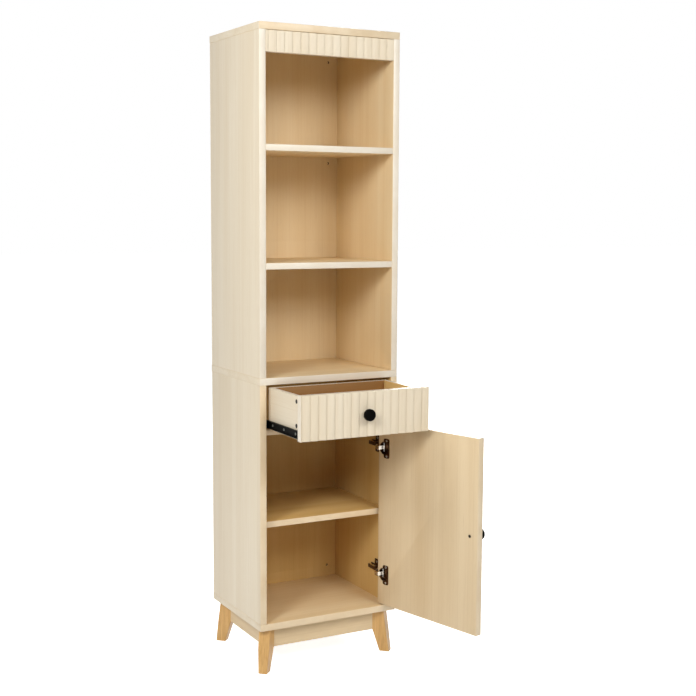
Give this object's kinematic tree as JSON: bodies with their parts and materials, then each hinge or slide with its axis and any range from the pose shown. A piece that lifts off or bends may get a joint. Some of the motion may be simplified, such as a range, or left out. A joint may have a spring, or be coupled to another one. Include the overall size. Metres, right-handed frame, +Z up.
{
  "type": "tall cabinet",
  "caption": "tall narrow wooden cabinet with open shelves above, a fluted drawer and a hinged cupboard door below, on splayed legs",
  "frame": {"origin": "on the floor, under the middle of the carcass", "axes": "+X to the right when facing the fronts, +Y from the fronts to the back, +Z up"},
  "size_m": [0.4784, 0.6512, 1.655],
  "materials": {
    "pale_board": "pale wood-grain board with a satin surface",
    "leg_wood": "honey-coloured solid wood, satin lacquer",
    "dowel_wood": "plain beech",
    "black_knob": "satin black paint",
    "black_steel": "black zinc-coated sheet steel",
    "ball_steel": "polished steel balls",
    "nickel": "nickel-plated pressed steel",
    "zinc_steel": "zinc-plated steel"
  },
  "bodies": {
    "carcass": {"top_panel": "pale_board", "middle_panel": "pale_board", "bottom_panel": "pale_board", "upper_side_left": "pale_board", "upper_side_right": "pale_board", "lower_side_left": "pale_board", "lower_side_right": "pale_board", "upper_back_panel": "pale_board", "lower_back_panel": "pale_board", "upper_shelf": "pale_board", "middle_shelf": "pale_board", "cupboard_shelf": "pale_board", "drawer_rail": "pale_board", "fluted_fascia": "pale_board", "base_apron_front": "pale_board", "base_apron_rear": "pale_board", "base_apron_left": "pale_board", "base_apron_right": "pale_board", "leg_front_left": "leg_wood", "leg_front_right": "leg_wood", "leg_rear_left": "leg_wood", "leg_rear_right": "leg_wood", "leg_brackets": "zinc_steel", "leg_bolts": "zinc_steel", "leg_nuts": "zinc_steel", "carcass_dowels": "dowel_wood", "shelf_pins": "zinc_steel", "back_panel_screws": "zinc_steel", "slide_channel_left": "black_steel", "slide_channel_right": "black_steel", "slide_channel_screws": "zinc_steel", "hinge_plate_upper": "nickel", "hinge_plate_lower": "nickel", "hinge_arm_upper": "nickel", "hinge_arm_lower": "nickel", "hinge_plate_screws": "zinc_steel"},
    "drawer": {"drawer_front": "pale_board", "drawer_side_left": "pale_board", "drawer_side_right": "pale_board", "drawer_back": "pale_board", "drawer_bottom": "pale_board", "drawer_knob": "black_knob", "drawer_knob_screw": "zinc_steel", "drawer_cam_locks": "zinc_steel", "drawer_cam_bolts": "zinc_steel", "drawer_back_screws": "zinc_steel", "slide_runner_left": "black_steel", "slide_runner_right": "black_steel", "slide_runner_screws": "zinc_steel"},
    "door": {"door_panel": "pale_board", "door_knob": "black_knob", "door_knob_screw": "zinc_steel", "hinge_cup_upper": "nickel", "hinge_cup_lower": "nickel", "hinge_pins": "zinc_steel", "hinge_cup_screws": "zinc_steel"},
    "cage_left": {"ball_cage_left": "black_steel", "slide_balls_left": "ball_steel"},
    "cage_right": {"ball_cage_right": "black_steel", "slide_balls_right": "ball_steel"}
  },
  "joints": [
    {"name": "drawer_slide", "type": "slide", "parent": "carcass", "child": "drawer", "axis": [0, -1, 0], "range_m": [-0.193, 0.007]},
    {"name": "door_hinge", "type": "hinge", "parent": "carcass", "child": "door", "pos_m": [0.168, -0.1508, 0.3875], "axis": [0, 0, 1], "range_deg": [-103.5, 1.5]},
    {"name": "cage_left_slide", "type": "slide", "parent": "carcass", "child": "cage_left", "axis": [0, -1, 0], "range_m": [-0.0966, 0.0036]},
    {"name": "cage_right_slide", "type": "slide", "parent": "carcass", "child": "cage_right", "axis": [0, -1, 0], "range_m": [-0.0966, 0.0036]}
  ],
  "couplings": [
    {"joint": "cage_left_slide", "follows": "drawer_slide", "ratio": 0.5},
    {"joint": "cage_right_slide", "follows": "drawer_slide", "ratio": 0.5}
  ]
}
